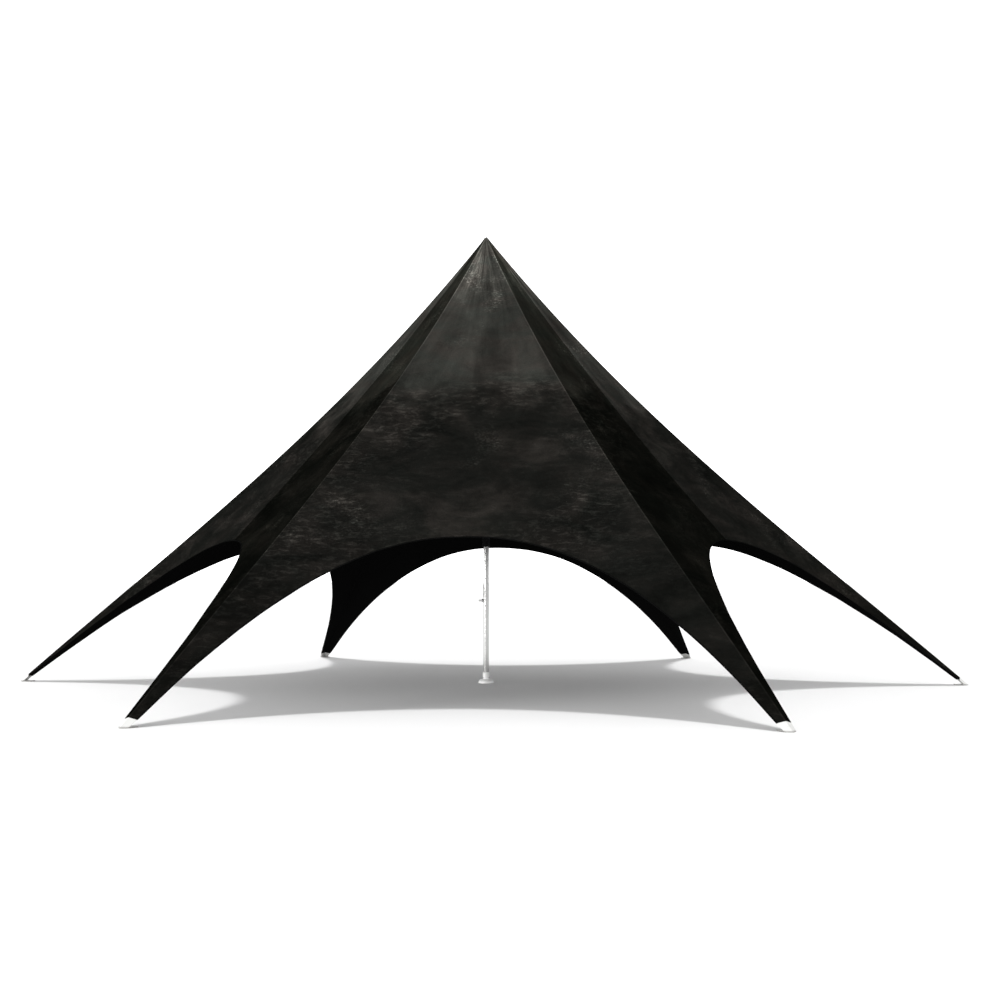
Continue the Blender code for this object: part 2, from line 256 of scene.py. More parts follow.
# Base collar: a machined ring with a chamfered top that closes the joint between the dome and
# the tube. It is powder-coated white, and four black socket screws clamp it.
SCREW_R = 0.0045
collar_profile = [(TUBE_R + SLIDE_GAP, COLLAR_LOW), (COLLAR_R - 0.001, COLLAR_LOW),
                  (COLLAR_R, COLLAR_LOW + 0.001), (COLLAR_R, COLLAR_LOW + 0.030),
                  (COLLAR_R - 0.0012, COLLAR_LOW + 0.0315), (COLLAR_R - 0.0012, COLLAR_LOW + 0.0335),
                  (COLLAR_R, COLLAR_LOW + 0.035), (COLLAR_R, COLLAR_HIGH - 0.006),
                  (COLLAR_R - 0.006, COLLAR_HIGH), (TUBE_R + SLIDE_GAP, COLLAR_HIGH)]
collar = piece("mast_base_ring", *turned(collar_profile), [powder_coat], "tent")
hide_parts("mast_base_collar")


def aimed(points, centre, out):
    """Turn points whose own axis is z so that it looks along out, a level direction, and put
    them at centre."""
    side = np.cross((0.0, 0.0, 1.0), out)
    return points @ np.stack((side, np.cross(out, side), out)) + centre


def joined(parts):
    """Put several (points, faces) together as one set of points and faces."""
    starts = np.cumsum([0] + [len(points) for points, _ in parts]).tolist()
    return (np.concatenate([points for points, _ in parts]),
            [[int(i) + start for i in f] for start, (_, faces) in zip(starts, parts) for f in faces])


# Blackened steel: a dark metal, half rough, greyer where a key has rubbed it
black_steel = grained("black_oxide_steel", (300.0, 3.0), ((0.45, "#1B1B1C"), (0.75, "#4A4A4B")),
                      {"Metallic": 0.7, "Roughness": 0.45})


def screws(name, angles, heights, radius, high):
    """Cap screws on a cylinder of this radius round the mast, one at each angle and height. Each
    head is a disc with a rounded shoulder and a round hollow in its top."""
    head = [(0.0, -0.001), (SCREW_R, -0.001), (SCREW_R, high * 0.75), (SCREW_R * 0.88, high),
            (SCREW_R * 0.55, high), (SCREW_R * 0.50, high * 0.45), (0.0, high * 0.45)]
    points, faces = turned(head, 18)
    parts = []
    for height in heights:
        for angle in angles:
            out = np.array((math.cos(angle), math.sin(angle), 0.0))
            parts.append((aimed(points, radius * out + (0.0, 0.0, height), out), faces))
    return piece(name, *joined(parts), [black_steel], "tent")


collar_screws = screws("mast_base_ring_screws", (-0.6, 0.6, math.pi - 0.6, math.pi + 0.6),
                       [COLLAR_LOW + 0.018], COLLAR_R, 0.004)

# Mast tubes: two extruded aluminium tubes, the upper sliding in the lower. Each end is
# deburred to a small chamfer.
UPPER_R, UPPER_LOW, UPPER_HIGH = turned_size("mast_upper_tube")
CHAMFER = 0.0008


def satin_aluminium():
    """Extruded aluminium, satin anodised: a bright metal whose faint lines run up the mast and
    spread its highlights sideways."""
    made, add, shader = blank_material("satin_anodised_aluminium")
    place = add("TexCoord").outputs["Object"]
    # Die lines about 2 mm apart and half a metre long
    lines_at = add("VectorMath", {0: place, 1: (500.0, 500.0, 2.0)}, operation="MULTIPLY")
    lines = add("TexNoise", {"Vector": lines_at, "Scale": 1.0, "Detail": 2.0})
    film = add("TexNoise", {"Vector": place, "Scale": 6.0, "Detail": 4.0})
    tone = add("ValToRGB", {"Fac": film}, ((0.3, "#BEBEBD"), (0.7, "#C5C5C4")))
    rough = add("MapRange", {"Value": lines, "To Min": 0.12, "To Max": 0.22})
    relief = add("Bump", {"Height": lines, "Strength": 0.25, "Distance": 0.0002})
    plug(shader, {"Base Color": tone, "Roughness": rough, "Normal": relief, "Metallic": 1.0})
    return made


aluminium = satin_aluminium()
for name, cad_name, radius, low, high in (
        ("mast_tube_lower", "mast_lower_tube", TUBE_R, LOWER_LOW, LOWER_HIGH),
        ("mast_tube_upper", "mast_upper_tube", UPPER_R, UPPER_LOW, UPPER_HIGH)):
    # The wall is cut square, with its outer corners taken off
    wall = [(radius - TUBE_WALL, low), (radius - CHAMFER, low), (radius, low + CHAMFER),
            (radius, high - CHAMFER), (radius - CHAMFER, high), (radius - TUBE_WALL, high)]
    tube = piece(name, *turned(wall), [aluminium], "tent")
    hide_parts(cad_name)

# Lock collar: a moulded nylon ring at the top of the lower tube that grips the upper one. It
# is ribbed for the hand, and black. It is also painted shade: its black covers the stretch of
# mast that lies in shade in front of the dark lining.
CLAMP_R, CLAMP_LOW, CLAMP_HIGH = turned_size("mast_clamp_collar")
GRIP_RIBS, RIB_DEPTH = 24, 0.0025
END_GAP = 0.0004           # between a tube's end and what stands on it


def moulded_plastic(name, colour, grain_scale, strength, depth, roughness, sockets):
    """A moulded plastic in one colour, with the mould's fine grain in its relief and gloss."""
    made, add, shader = blank_material(name)
    place = add("TexCoord").outputs["Object"]
    grain = add("TexNoise", {"Vector": place, "Scale": grain_scale, "Detail": 2.0})
    relief = add("Bump", {"Height": grain, "Strength": strength, "Distance": depth})
    rough = add("MapRange", {"Value": grain, "To Min": roughness[0], "To Max": roughness[1]})
    plug(shader, {"Base Color": linear(colour), "Roughness": rough, "Normal": relief, **sockets})
    return made


def ribbed(profile, ribs, depth, zone, steps):
    """A turned profile whose radius dips between its ribs. Between the first two values of zone,
    which are heights, and outside its third, a radius, the radius loses depth times the square of
    a raised cosine of the angle."""
    points, faces = turned(profile, steps)
    angle = np.arctan2(points[..., 1], points[..., 0])
    radius = np.hypot(points[..., 0], points[..., 1])
    inside = (points[..., 2] > zone[0]) & (points[..., 2] < zone[1]) & (radius > zone[2])
    scale = 1 - inside * depth * (0.5 - 0.5 * np.cos(ribs * angle)) ** 2 / np.maximum(radius, 1e-6)
    points[..., 0] *= scale
    points[..., 1] *= scale
    return points, faces


# Glass-filled nylon: near black and dull, with a spark-eroded grain of about 0.4 mm; drawn at 1 mm
# so that it shows. Its black is made deep and dull as painted shade, so that the collar reads as
# the shaded mast in front of the lining.
nylon_and_painted_shade = moulded_plastic("black_moulded_nylon_and_painted_shade", "#0E0E0F", 1000.0, 0.3, 0.0003, (0.60, 0.75),
                        {"Specular IOR Level": 0.12})
clamp_profile = ([(TUBE_R + SLIDE_GAP, CLAMP_LOW), (CLAMP_R - 0.003, CLAMP_LOW),
                  (CLAMP_R - 0.001, CLAMP_LOW + 0.002), (CLAMP_R - 0.001, CLAMP_LOW + 0.010)]
                 + [(CLAMP_R, h) for h in np.linspace(CLAMP_LOW + 0.014, CLAMP_HIGH - 0.024, 8)]
                 + [(CLAMP_R - 0.001, CLAMP_HIGH - 0.018), (CLAMP_R - 0.002, CLAMP_HIGH - 0.010),
                    (CLAMP_R - 0.009, CLAMP_HIGH), (UPPER_R + SLIDE_GAP, CLAMP_HIGH),
                    (UPPER_R + SLIDE_GAP, LOWER_HIGH + END_GAP),
                    (TUBE_R + SLIDE_GAP, LOWER_HIGH + END_GAP)])
grip_zone = (CLAMP_LOW + 0.012, CLAMP_HIGH - 0.022, TUBE_R + 0.004)
clamp = piece("mast_lock_ring", *ribbed(clamp_profile, GRIP_RIBS, RIB_DEPTH, grip_zone, 288),
              [nylon_and_painted_shade], "tent")
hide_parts("mast_clamp_collar")

# Mast head: a turned aluminium cone that carries the canopy's top, with a plug in the upper
# tube and a nose that comes up through the cloth.
HEAD_R, HEAD_LOW, HEAD_TOP = turned_size("mast_head")
UNDER_CLOTH = 0.0152       # how far below the cloth's face the head bears on its lining
APEX_H = 5.71              # where the canopy's lines meet, as in the construction
ARCH_R, ARCH_H = 3.282, 1.762
VALLEY_SAG = (0.5215, -0.0902)


def valley_height(r):
    """A valley falls in a straight line from the apex to the top of its arch, less a sag that is
    a parabola weighted towards the apex."""
    share = r / ARCH_R
    return (APEX_H - (APEX_H - ARCH_H) * share
            - share * (1 - share) * (VALLEY_SAG[0] + VALLEY_SAG[1] * share))


plug_r = UPPER_R - TUBE_WALL - SLIDE_GAP
cone = [(r, valley_height(r) - UNDER_CLOTH) for r in (HEAD_R, 0.040, 0.019)]
head_profile = [(0.0, HEAD_LOW), (plug_r - 0.003, HEAD_LOW), (plug_r, HEAD_LOW + 0.004),
                (plug_r, UPPER_HIGH + END_GAP), (HEAD_R - 0.012, UPPER_HIGH + END_GAP),
                (HEAD_R, UPPER_HIGH + 0.020), *cone, (0.013, cone[-1][1] + 0.002),
                (0.013, valley_height(0.013) - 0.001), (0.008, APEX_H - 0.010),
                (0.004, HEAD_TOP - 0.001), (0.0, HEAD_TOP)]
head = piece("mast_head_cone", *turned(head_profile), [aluminium], "tent")
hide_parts("mast_head")

# Winder: a saddle strapped to the mast's left side by two bands, with a bearing boss. The
# mast's lift is wound up through it.
_, SADDLE_LOW, SADDLE_HIGH = turned_size("winder_saddle")
SADDLE_HALF = math.radians(62)
BANDS = ((1.086, 1.158), (1.175, 1.236))
WINDER_H = 1.040
BOSS_R, BOSS_OUT = 0.019, -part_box("winder_saddle")[0][0]
TO_LEFT = (-1.0, 0.0, 0.0)


def closed_plate(outer, inner):
    """Points and faces of a plate between two like grids of points, closed all round."""
    rows, cols = outer.shape[:2]
    loop = np.concatenate((outer, inner[:, ::-1]), axis=1)
    faces = grid_faces(rows, 2 * cols, False, True).tolist()
    for start in (0, (rows - 1) * 2 * cols):
        ring = range(start, start + 2 * cols)
        faces += [[ring[j], ring[j + 1], ring[-2 - j], ring[-1 - j]] for j in range(cols - 1)]
    return loop.reshape(-1, 3), faces


def wrapped_plate(low, high, half_angle, inner, outer, corner=0.012):
    """A plate bent round the mast's left side. Its half angle shrinks near its top and bottom
    as a quarter circle does, which rounds its corners."""
    height = np.linspace(low, high, 32)[:, None]
    from_end = np.minimum(height - low, high - height)
    cut = corner - np.sqrt(np.maximum(corner ** 2 - np.maximum(corner - from_end, 0) ** 2, 0))
    angle = np.pi + np.linspace(-1, 1, 40)[None, :] * (half_angle - cut / inner)
    return closed_plate(*(xyz(r * np.cos(angle), r * np.sin(angle), height) for r in (outer, inner)))


def rounded(made, width):
    """Round an object's edges with a live Bevel."""
    edge = made.modifiers.new("rounded_edges", "BEVEL")
    edge.width = width
    edge.segments = 2
    edge.limit_method = "ANGLE"
    edge.angle_limit = math.radians(40)


inner = TUBE_R + SLIDE_GAP
saddle_parts = [wrapped_plate(SADDLE_LOW, SADDLE_HIGH, SADDLE_HALF, inner, TUBE_R + 0.0042)]
for low, high in BANDS:
    saddle_parts.append(wrapped_plate(low, high, SADDLE_HALF * 0.97, TUBE_R + 0.003,
                                      TUBE_R + 0.0078, corner=0.006))
boss_profile = [(0.0, inner + 0.002), (BOSS_R + 0.006, inner + 0.002),
                (BOSS_R + 0.003, inner + 0.0065), (BOSS_R, inner + 0.0095),
                (BOSS_R, BOSS_OUT - 0.003), (BOSS_R - 0.0009, BOSS_OUT - 0.0009),
                (BOSS_R - 0.003, BOSS_OUT), (0.0080, BOSS_OUT), (0.0080, inner + 0.005),
                (0.0, inner + 0.005)]
boss, boss_faces = turned(boss_profile, 64)
saddle_parts.append((aimed(boss, (0.0, 0.0, WINDER_H), TO_LEFT), boss_faces))
saddle = piece("winder_saddle_and_boss", *joined(saddle_parts), [aluminium], "tent")
rounded(saddle, 0.0006)
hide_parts("winder_saddle")

saddle_screws = screws("winder_saddle_screws", (math.pi + 0.72, math.pi - 0.72),
                       [(low + high) / 2 for low, high in BANDS], TUBE_R + 0.0076, 0.0035)

# Winder grip: a white knob on a short shaft that turns in the boss. It is moulded ABS with
# eight shallow flutes for the fingers.
KNOB_END = -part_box("winder_knob")[0][0]
FLUTES, FLUTE_DEPTH = 8, 0.0016
# Moulded ABS: a clean white, half glossy, with a faint grain from the mould
abs_plastic = moulded_plastic("white_moulded_abs", "#F6F6F4", 900.0, 0.15, 0.0002, (0.32, 0.42),
                              {"IOR": 1.54})
pin_start = inner + 0.006
knob_profile = ([(0.0, pin_start), (0.0070, pin_start), (0.0070, BOSS_OUT + 0.001),
                 (0.0110, BOSS_OUT + 0.001), (0.0110, KNOB_END - 0.024), (0.0125, KNOB_END - 0.0225)]
                + [(0.0140, h) for h in np.linspace(KNOB_END - 0.0215, KNOB_END - 0.0035, 10)]
                + [(0.0132, KNOB_END - 0.001), (0.0115, KNOB_END), (0.0, KNOB_END)])
flute_zone = (KNOB_END - 0.022, KNOB_END - 0.002, 0.0115)
knob, knob_faces = ribbed(knob_profile, FLUTES, FLUTE_DEPTH, flute_zone, ROUND_STEPS)
knob_piece = piece("winder_grip_knob", aimed(knob, (0.0, 0.0, WINDER_H), TO_LEFT),
                   knob_faces, [abs_plastic], "winder")
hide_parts("winder_knob")

# Canopy: one star of printed polyester, cut as twelve gores and sewn. Six ridges run down to
# the feet, and a shallow valley runs down each panel to the top of an arch.
FOOT_R = 6.0               # mast to the tip of each foot
RIDGE_SAG = (1.790, -1.296)
ARCH_EDGE = np.array(((1.0, ARCH_H), (0.07, ARCH_H), (0.071, 0.256), (0.024, 0.0)))
ARM_STEP = math.radians(60)
HALF_PANEL = math.radians(30)
PANELS = ("right_rear", "rear", "left_rear", "left_front", "front", "right_front")
TOP_HOLE_R = 0.015
RIDGE_AT_ARCH = 2.20       # height on the ridge square across from an arch's top
CLOTH_END = (0.0905, 0.0705)
ROWS_ABOVE, ROWS_BELOW, COLS = 60, 50, 36
CLOTH_T = 0.0016


def ridge_height(r):
    """A ridge falls the same way as a valley, from the apex to the foot."""
    share = r / FOOT_R
    return (1 - share) * (APEX_H - share * (RIDGE_SAG[0] + RIDGE_SAG[1] * share))


def heights_to_radius(height_of, z):
    """Radius at which a falling line has height z, by interpolation on a fine table of it."""
    table = np.linspace(0.0, FOOT_R * 1.02, 6000)
    return np.interp(-z, -height_of(table), table)


def arch_edge(t):
    """The arch's edge as one Bezier curve in (share of the way from ridge to valley, height):
    each corner weighted by its Bernstein polynomial."""
    t = np.asarray(t)[..., None]
    weights = ((1 - t) ** 3, 3 * (1 - t) ** 2 * t, 3 * (1 - t) * t ** 2, t ** 3)
    return sum(w * corner for w, corner in zip(weights, ARCH_EDGE))


def even_steps(values, points, count):
    """Pick count values along a curve so that the lengths between their points are equal."""
    lengths = np.concatenate(([0.0], np.cumsum(np.linalg.norm(np.diff(points, axis=0), axis=1))))
    return np.interp(np.linspace(0.0, lengths[-1], count), lengths, values)


def ruled(z, share, arm_angle, side):
    """The taut surface: at each height, a straight line from the ridge, share 0, to the valley
    beside it, share 1."""
    valley_angle = arm_angle + side * HALF_PANEL
    ridge_r = heights_to_radius(ridge_height, z) * (1 - share)
    valley_r = heights_to_radius(valley_height, z) * share
    return xyz(ridge_r * np.cos(arm_angle) + valley_r * np.cos(valley_angle),
               ridge_r * np.sin(arm_angle) + valley_r * np.sin(valley_angle), z)


def row_lines():
    """Each row of the cloth's grid runs about square across an arm, from a height on the ridge
    to a height and share on the valley or on the arch's edge, all evenly spaced."""
    ridge_r = np.linspace(0.0, FOOT_R, 3000)
    ridge = np.stack((ridge_r, ridge_height(ridge_r)), axis=-1)
    start = ridge_height(np.interp(-valley_height(TOP_HOLE_R), -ridge[:, 1], ridge_r))
    upper = (ridge[:, 1] > RIDGE_AT_ARCH) & (ridge[:, 1] <= start)
    lower = (ridge[:, 1] <= RIDGE_AT_ARCH) & (ridge[:, 1] >= CLOTH_END[0])
    ridge_z = np.concatenate((even_steps(ridge[upper, 1], ridge[upper], ROWS_ABOVE)[:-1],
                              even_steps(ridge[lower, 1], ridge[lower], ROWS_BELOW + 1)))
    valley_r = np.linspace(TOP_HOLE_R, ARCH_R, 2000)
    valley = np.stack((valley_r, valley_height(valley_r)), axis=-1)
    valley_z = even_steps(valley[:, 1], valley, ROWS_ABOVE)
    t = np.linspace(0.0, 1.0, 3000)
    edge = arch_edge(t)
    keep = edge[:, 1] >= CLOTH_END[1]
    edge_t = even_steps(t[keep], ruled(edge[keep, 1], edge[keep, 0], 0.0, 1), ROWS_BELOW + 1)
    below = arch_edge(edge_t[1:])
    edge_z = np.concatenate((valley_z, below[:, 1]))
    edge_share = np.concatenate((np.ones(ROWS_ABOVE), below[:, 0]))
    return ridge_z, edge_z, edge_share


RIDGE_Z, EDGE_Z, EDGE_SHARE = row_lines()


def wobble(x, seed):
    """A smooth uneven wave between -1 and 1: three sines whose lengths share no multiple."""
    return (np.sin(x + seed) + 0.6 * np.sin(1.7 * x + 2.3 * seed)
            + 0.4 * np.sin(2.9 * x + 4.1 * seed)) / 2


def panel_place(points, panel):
    """Where points lie on the numbered panel: metres across from its middle, metres down from
    the apex, and the panel's number."""
    middle = panel * ARM_STEP + HALF_PANEL
    out = points[..., 0] * np.cos(middle) + points[..., 1] * np.sin(middle)
    across = points[..., 1] * np.cos(middle) - points[..., 0] * np.sin(middle)
    down = np.hypot(out, APEX_H - points[..., 2])
    return xyz(across, down, panel)


def creases(place, share):
    """Height of the cloth's creases over the taut surface. Gathers fan out from the apex and
    fade within 2 m; long slack waves cross the panels; all vanish at the ridges."""
    across, down, panel = place[..., 0], place[..., 1], place[..., 2]
    fan = across / np.maximum(down, 0.02)
    gathers = wobble(fan * 58.0, 1.3 * panel) * 0.011 * down * np.exp(-(down / 1.15) ** 2)
    slack = 0.006 * wobble(2.6 * across + 1.1 * down, 0.9 * panel) * np.clip(down - 0.8, 0, 1)
    pull = 0.0035 * wobble(9.0 * across - 3.1 * down, 2.1 * panel) * np.clip(down / 3.5 - 1, 0, 1)
    hold = np.clip(share * 6.0, 0.0, 1.0)
    return (gathers + slack + pull) * hold * hold * (3 - 2 * hold)


def cloth_at(rows, across, arm, side):
    """Points of the cloth's outer face: across 0 is the ridge and 1 the far side of the row.
    The taut surface moves out and up by the height of the creases."""
    z = RIDGE_Z[rows] + (EDGE_Z[rows] - RIDGE_Z[rows]) * across
    share = EDGE_SHARE[rows] * across
    taut = ruled(z, share, arm * ARM_STEP, side)
    lift = creases(panel_place(taut, arm if side > 0 else (arm - 1) % 6), share)
    around = np.arctan2(taut[..., 1], taut[..., 0])
    return taut + xyz(np.cos(around), np.sin(around), 1.0) * (0.7 * lift[..., None])


def canopy_grid():
    """All points of the canopy and its quads. Above the arches the grid runs right round; below,
    each arm has its own grid, which starts on the last full row."""
    ring = 12 * COLS
    rows = np.arange(ROWS_ABOVE)[:, None]
    below = np.arange(ROWS_ABOVE, ROWS_ABOVE + ROWS_BELOW)[:, None]
    cols = np.arange(COLS + 1)
    upper, lowers, quads = np.zeros((ROWS_ABOVE, ring, 3)), [], []
    for arm in range(6):
        lower = np.concatenate((cloth_at(below, cols[None, :0:-1] / COLS, arm, -1),
                                cloth_at(below, cols[None, :] / COLS, arm, 1)), axis=1)
        lowers.append(lower.reshape(-1, 3))
        numbers = np.arange(lower[..., 0].size).reshape(lower.shape[:2])
        numbers += ROWS_ABOVE * ring + arm * numbers.size
        for side, own in ((1, numbers[:, COLS:]), (-1, numbers[:, COLS::-1])):
            around = (arm * 2 * COLS + side * cols) % ring
            upper[:, around] = cloth_at(rows, cols[None, :] / COLS, arm, side)
            index = np.concatenate((rows * ring + around, own))
            corners = (index[:-1, :-1], index[1:, :-1], index[1:, 1:], index[:-1, 1:])
            quads.append(np.stack(corners[::side], axis=-1).reshape(-1, 4))
    return np.concatenate([upper.reshape(-1, 3)] + lowers), np.concatenate(quads)


# Painted shade: the side panels' halves next to the front and the rear arms are coloured darker, as
# they would be shaded when lit from the front. Gores are numbered round from the right-hand arm.
PAINTED_SHADE_GORES = (2, 5, 7, 10)


def lay_print(made):
    """Give each corner its place on the panel that its face lies in, for the print to follow,
    and each face a mark if its gore is painted darker as shade."""
    mesh = made.data
    points = np.array([v.co for v in mesh.vertices])
    centres = np.array([f.center for f in mesh.polygons])
    corners = [f.loop_total for f in mesh.polygons]
    gore = np.arctan2(centres[:, 1], centres[:, 0]) // HALF_PANEL % 12
    place = panel_place(points[[c.vertex_index for c in mesh.loops]], np.repeat(gore // 2, corners))
    kept = mesh.attributes.new("cloth_place", "FLOAT_VECTOR", "CORNER")
    kept.data.foreach_set("vector", place.astype(np.float32).ravel())
    kept = mesh.attributes.new("painted_shade", "FLOAT", "FACE")
    kept.data.foreach_set("value", np.isin(gore, PAINTED_SHADE_GORES).astype(np.float32))


# The print's noises: whether each fans round the apex, how often it repeats per metre (or per
# radian, where it fans) across and down and from panel to panel, its detail, roughness and warp.
PRINT_NOISES = {
    "wander": (False, (1.7, 1.7, 3.3), 4.0, 0.50, 0.0),
    "rough_spots": (False, (0.65, 0.65, 4.7), 4.0, 0.50, 0.5),
    "smoke": (False, (0.9, 0.9, 7.3), 6.0, 0.60, 0.8),
    "blotches": (False, (3.2, 3.2, 7.3), 7.0, 0.68, 0.9),
    "streams": (True, (7.0, 0.45, 7.3), 5.0, 0.55, 0.6),
    "crackle": (True, (10.0, 1.0, 7.3), 7.0, 0.70, 0.6),
    "clouds": (False, (1.3, 2.2, 7.3), 5.0, 0.60, 1.0),
    "bark": (False, (8.0, 19.0, 7.3), 9.0, 0.74, 0.6),
    "grain": (False, (60.0, 90.0, 7.3), 3.0, 0.70, 0.0),
    "worn": (False, (1.3, 1.3, 5.1), 5.0, 0.50, 0.6),
    "flecks": (False, (28.0, 48.0, 9.7), 5.0, 0.65, 0.4)}
# Where each zone of the print starts and where it is whole, in metres down from the apex, and how
# much it lightens the tone
PRINT_ZONES = {"upper": (3.95, 3.50, 0.27), "crown": (2.3, 1.1, 0.13), "lower": (3.2, 4.0, 0.0),
               "tips": (6.0, 7.1, -0.10)}
# How far each noise swings the tone, and in which zone
PRINT_SWINGS = (("smoke", 0.08, "all"), ("blotches", 0.05, "all"), ("streams", 0.09, "upper"),
                ("crackle", 0.26, "crown"), ("clouds", 0.14, "lower"), ("bark", 0.22, "rough"),
                ("grain", 0.04, "all"))
INK_TONES = ((0.0, "#0D0D0D"), (0.25, "#191919"), (0.45, "#262626"), (0.65, "#3A3A3A"),
             (0.82, "#545454"), (1.0, "#868686"))
COOL_INK, WARM_INK = (0.835, 0.87, 0.766, 1.0), (0.93, 0.853, 0.753, 1.0)
# Painted shade: the ink that darkens the gores standing in for shaded ones
PAINTED_SHADE_INK = (0.365, 0.38, 0.35, 1.0)


def printed_polyester(name, base_tone):
    """Coated polyester, woven and printed all over like smoke on charred bark: a matt cloth,
    paler towards the apex, where ink cracks in rays, and flecked where the print is worn."""
    made, add, shader = blank_material(name)
    place = add("Attribute", attribute_name="cloth_place").outputs["Vector"]
    across, down, panel = add("SeparateXYZ", {0: place}).outputs
    fan = add("Math", {0: across, 1: down}, operation="DIVIDE")
    fan_place = add("CombineXYZ", {"X": fan, "Y": down, "Z": panel})
    noises = {}
    for kind, (fans, repeats, detail, rough, warp) in PRINT_NOISES.items():
        at = add("VectorMath", {0: fan_place if fans else place, 1: repeats}, operation="MULTIPLY")
        noises[kind] = add("TexNoise", {"Vector": at, "Scale": 1.0, "Detail": detail,
                                        "Roughness": rough, "Distortion": warp})
    # The bounds between the zones wander up and down by about 0.2 m
    bound = add("Math", {0: noises["wander"], 1: 1.6, 2: down}, operation="MULTIPLY_ADD")
    zones, added = {"all": 1.0}, []
    for zone, (start, end, lighter) in PRINT_ZONES.items():
        zones[zone] = add("MapRange", {"Value": bound, "From Min": start, "From Max": end}, **SMOOTH)
        if lighter:
            added.append((zones[zone], lighter))
    # The lower print is smooth smoke in some places and rough bark in others, about 1.5 m across
    share = add("MapRange", {"Value": noises["rough_spots"], "From Min": 0.46, "From Max": 0.64,
                             "To Min": 0.28, "To Max": 1.15}, **SMOOTH)
    zones["rough"] = add("Math", {0: share, 1: zones["lower"]}, operation="MULTIPLY")
    for kind, swing, zone in PRINT_SWINGS:
        sway = add("MapRange", {"Value": noises[kind], "From Min": 0.32, "From Max": 0.68,
                                "To Min": -swing, "To Max": swing}, clamp=False)
        added.append((sway, zones[zone]))
    # The ink is cracked and dark where the bark's noise crosses its middle value
    crossing = add("Math", {0: noises["bark"], 1: 0.5, 2: 0.02}, operation="COMPARE")
    cracks = add("Math", {0: crossing, 1: zones["rough"]}, operation="MULTIPLY")
    added.append((cracks, -0.12))
    # Flecks about 35 x 20 mm, in patches about 0.8 m across
    patch = add("MapRange", {"Value": noises["worn"], "From Min": 0.54, "From Max": 0.70}, **SMOOTH)
    fleck = add("MapRange", {"Value": noises["flecks"], "From Min": 0.47, "From Max": 0.68,
                             "To Max": 0.36})
    added.append((patch, fleck))
    tone = base_tone
    for factor, share in added:
        tone = add("Math", {0: factor, 1: share, 2: tone}, operation="MULTIPLY_ADD")
    ink = add("ValToRGB", {"Fac": tone}, INK_TONES)
    # Brown where the ink is warm, greenish grey where it is cool
    hue = add("MapRange", {"Value": noises["clouds"], "From Min": 0.38, "From Max": 0.62})
    tint = add("Mix", {"Factor": hue, 6: COOL_INK, 7: WARM_INK}, data_type="RGBA")
    tinted = add("Mix", {"Factor": 1.0, 6: ink, 7: tint.outputs[2]}, data_type="RGBA",
                 blend_type="MULTIPLY")
    # Painted shade: the marked gores get the same print at a little over a third of its brightness
    painted_shade = add("Attribute", attribute_name="painted_shade").outputs["Fac"]
    colour = add("Mix", {"Factor": painted_shade, 6: tinted.outputs[2], 7: PAINTED_SHADE_INK}, data_type="RGBA",
                 blend_type="MULTIPLY")
    # The weave's threads are 0.5 mm apart; drawn at 4 mm so that they show close up
    crossed = add("VectorMath", {0: place, 1: (1570.0, 1570.0, 0.0)}, operation="MULTIPLY")
    waves = add("VectorMath", {0: crossed}, operation="SINE")
    warp_wave, weft_wave, _ = add("SeparateXYZ", {0: waves}).outputs
    weave = add("Math", {0: warp_wave, 1: weft_wave}, operation="MULTIPLY")
    relief = add("Bump", {"Height": weave, "Strength": 0.2, "Distance": 0.0004})
    crinkle = add("Bump", {"Height": noises["blotches"], "Strength": 0.5, "Distance": 0.006,
                           "Normal": relief})
    matt = add("MapRange", {"Value": tone, "To Min": 0.82, "To Max": 0.95})
    plug(shader, {"Base Color": colour.outputs[2], "Roughness": matt, "Normal": crinkle,
                  "Specular IOR Level": 0.0})
    return made


# The cloth's inner face: a black polyurethane coating that lets no light through, dull, with the
# weave showing faintly
coating = grained("black_blackout_coating", (120.0, 2.0), ((0.0, "#070707"), (1.0, "#0E0E0E")),
                  {"Roughness": 0.95, "Specular IOR Level": 0.0}, relief=(0.15, 0.0005))
printed_cloth = printed_polyester("smoke_printed_polyester", 0.265)
canopy = piece("canopy_cloth", *canopy_grid(), [printed_cloth, coating, coating], "tent",
               sharp=24.0, weld=False)
lay_print(canopy)
wall = canopy.modifiers.new("cloth_thickness", "SOLIDIFY")
wall.thickness = CLOTH_T
wall.offset = -1.0
wall.material_offset = 1
wall.material_offset_rim = 2
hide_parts(*[f"canopy_{panel}_gore_{half}" for panel in PANELS for half in "ab"])

# Seams: a felled seam of the same cloth runs down each ridge and each valley, folded flat. The
# ridges' seams are printed a little paler, a painted highlight along each ridge.
ARMS = ("right", "rear_right", "rear_left", "left", "front_left", "front_right")
SEAM_HALF_W = 0.011
SEAM_T = 0.0012
ASIDE = 0.012              # share of a row that gives the cloth's direction at a seam


def swept(loops):
    """Close a tube of like loops of points, one loop for each step of a path, with flat ends."""
    steps, around = loops.shape[:2]
    faces = grid_faces(steps, around, False, True).tolist()
    faces += [range(around), range((steps - 1) * around, steps * around)]
    return loops.reshape(-1, 3), faces


def unit(vectors):
    """Vectors scaled to a length of 1."""
    return vectors / np.linalg.norm(vectors, axis=-1, keepdims=True)


def edge_frame(path, inside):
    """For a path on the cloth and points a little inside of it: the direction along the cloth
    square to the path, and the cloth's outward normal there."""
    along = unit(np.gradient(path, axis=0))
    inward = inside - path
    inward = unit(inward - along * np.sum(inward * along, axis=-1, keepdims=True))
    normal = unit(np.cross(along, inward))
    radial = path * (1, 1, 0) + (0, 0, 1)
    normal *= np.sign(np.sum(normal * radial, axis=-1, keepdims=True))
    return inward, normal


